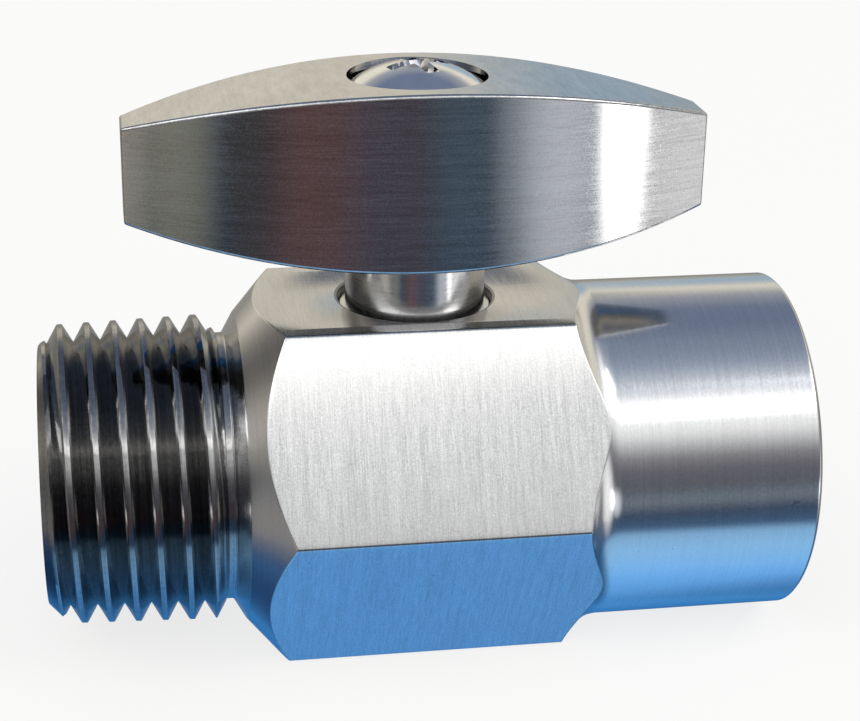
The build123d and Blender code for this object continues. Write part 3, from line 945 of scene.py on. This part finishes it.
BACK = (  # the same behind it
    (-90, (0.14, 0.46, 1.05)),
    (-60, (0.08, 0.34, 0.80)),
    (-38, (0.03, 0.19, 0.50)),
    (-25, (0.30, 0.30, 0.29)),
    (-4, (0.32, 0.31, 0.28)),
    (4, (0.52, 0.49, 0.42)),
    (14, (0.92, 0.87, 0.74)),
    (26, (0.92, 0.87, 0.74)),
    (35, (0.42, 0.44, 0.48)),
    (50, (0.19, 0.24, 0.36)),
    (70, (0.19, 0.24, 0.36)),
    (90, (0.21, 0.27, 0.40)),
)
PATCHES = (  # azimuth from the front and elevation, half width in degrees, colour
    ((-14, -15), 15, (0.18, 0.10, 0.10)),
    ((5, -15), 9, (0.11, 0.09, 0.11)),
    ((16, -14), 8, (0.10, 0.15, 0.20)),
    ((30, -14), 9, (0.50, 0.57, 0.63)),
    ((37, -15), 10, (0.95, 1.00, 1.08)),
    ((66, -12), 24, (1.30, 1.30, 1.32)),
    ((49, -14), 6, (6.00, 6.00, 6.00)),
    ((-25, -15), 8, (0.07, 0.07, 0.07)),
    ((-40, -14), 10, (0.36, 0.36, 0.29)),
    ((-58, -12), 14, (0.80, 0.74, 0.62)),
    ((-86, 10), 13, (0.34, 0.32, 0.29)),
    ((-84, -22), 16, (0.32, 0.31, 0.30)),
    ((-112, -50), 30, (0.02, 0.06, 0.17)),
    ((108, -48), 26, (0.02, 0.08, 0.20)),
    ((-122, 26), 30, (0.05, 0.05, 0.06)),
    ((159, 11), 12, (0.36, 0.50, 0.64)),
    ((170, 30), 8, (0.20, 0.22, 0.26)),
)


side_change = 1.6  # how quickly the front's light gives way to the back's
backdrop = (0.93, 0.93, 0.93, 1)


def ramp_of(tree, stops, position):
    """A colour ramp through (position, colour) stops."""
    ramp = add_node(tree, "ShaderNodeValToRGB", Fac=position)
    points = ramp.color_ramp.elements
    while len(points) < len(stops):
        points.new(0.5)
    for point, (place, colour) in zip(points, stops):
        point.position = place
        point.color = (*colour, 1)
    return ramp.outputs[0]


def patch(tree, direction, toward, width):
    """A soft round patch of the surround: 1 at the direction toward, 0 beyond its width."""
    aim = Vector(toward).normalized()
    dot = add_node(tree, "ShaderNodeVectorMath", {"operation": "DOT_PRODUCT"})
    feed(tree, dot.inputs[0], direction)
    feed(tree, dot.inputs[1], aim)
    edge = math.cos(math.radians(width))
    share = calc(tree, "DIVIDE", calc(tree, "SUBTRACT", dot.outputs["Value"], edge), 1 - edge)
    clipped = calc(tree, "MAXIMUM", calc(tree, "MINIMUM", share, 1.0), 0.0)
    return calc(tree, "SMOOTH_MIN", clipped, 1.0, 0.3)


def heading(azimuth, elevation):
    """A direction seen from the valve: azimuth 0 is the front (-Y), positive towards +X."""
    a, e = math.radians(azimuth), math.radians(elevation)
    return (math.sin(a) * math.cos(e), -math.cos(a) * math.cos(e), math.sin(e))


def make_surround():
    """A world that the metal reflects, and that the camera sees as a plain backdrop."""
    world = bpy.data.worlds.new("studio")
    scene.world = world
    world.use_nodes = True
    tree = world.node_tree
    tree.nodes.clear()
    direction = tree.nodes.new("ShaderNodeTexCoord").outputs["Generated"]
    parts = add_node(tree, "ShaderNodeSeparateXYZ", Vector=direction)
    height = calc(tree, "DIVIDE", calc(tree, "ARCSINE", parts.outputs["Z"]), math.pi)
    place = calc(tree, "ADD", height, 0.5)
    front, back = (
        ramp_of(tree, [((angle + 90) / 180, colour) for angle, colour in side], place)
        for side in (FRONT, BACK)
    )
    behind = calc(tree, "MULTIPLY_ADD", parts.outputs["Y"], side_change, 0.5)
    share = calc(tree, "MAXIMUM", calc(tree, "MINIMUM", behind, 1.0), 0.0)
    band = mix_colour(tree, share, front, back)
    for toward, width, colour in PATCHES:
        spot = patch(tree, direction, heading(*toward), width)
        band = mix_colour(tree, spot, band, (*colour, 1))
    lit = add_node(tree, "ShaderNodeBackground", Color=band, Strength=1.0)
    seen = add_node(tree, "ShaderNodeBackground", Color=backdrop, Strength=1.0)
    rays = tree.nodes.new("ShaderNodeLightPath")
    choice = tree.nodes.new("ShaderNodeMixShader")
    feed(tree, choice.inputs[0], rays.outputs["Is Camera Ray"])
    feed(tree, choice.inputs[1], lit.outputs[0])
    feed(tree, choice.inputs[2], seen.outputs[0])
    out = tree.nodes.new("ShaderNodeOutputWorld")
    feed(tree, out.inputs["Surface"], choice.outputs[0])


make_surround()
print("surround:", len(FRONT), "front stops,", len(BACK), "back stops,", len(PATCHES), "patches")

# %% Add the studio lamps


def soft_lamp(name, toward, distance, size, watts):
    """A square soft lamp that faces the valve from a heading."""
    data = bpy.data.lights.new(name, "AREA")
    data.shape = "SQUARE"
    data.size = size
    data.energy = watts
    lamp = bpy.data.objects.new(name, data)
    aim = Vector(toward)
    lamp.location = aim * distance
    lamp.rotation_euler = aim.to_track_quat("Z", "Y").to_euler()
    scene.collection.objects.link(lamp)
    return lamp


key = soft_lamp("key_lamp", heading(60, 45), distance=0.8, size=0.30, watts=0.8)
fill = soft_lamp("fill_lamp", heading(-60, 50), distance=0.8, size=0.40, watts=0.4)
print("lamps:", key.name, fill.name)
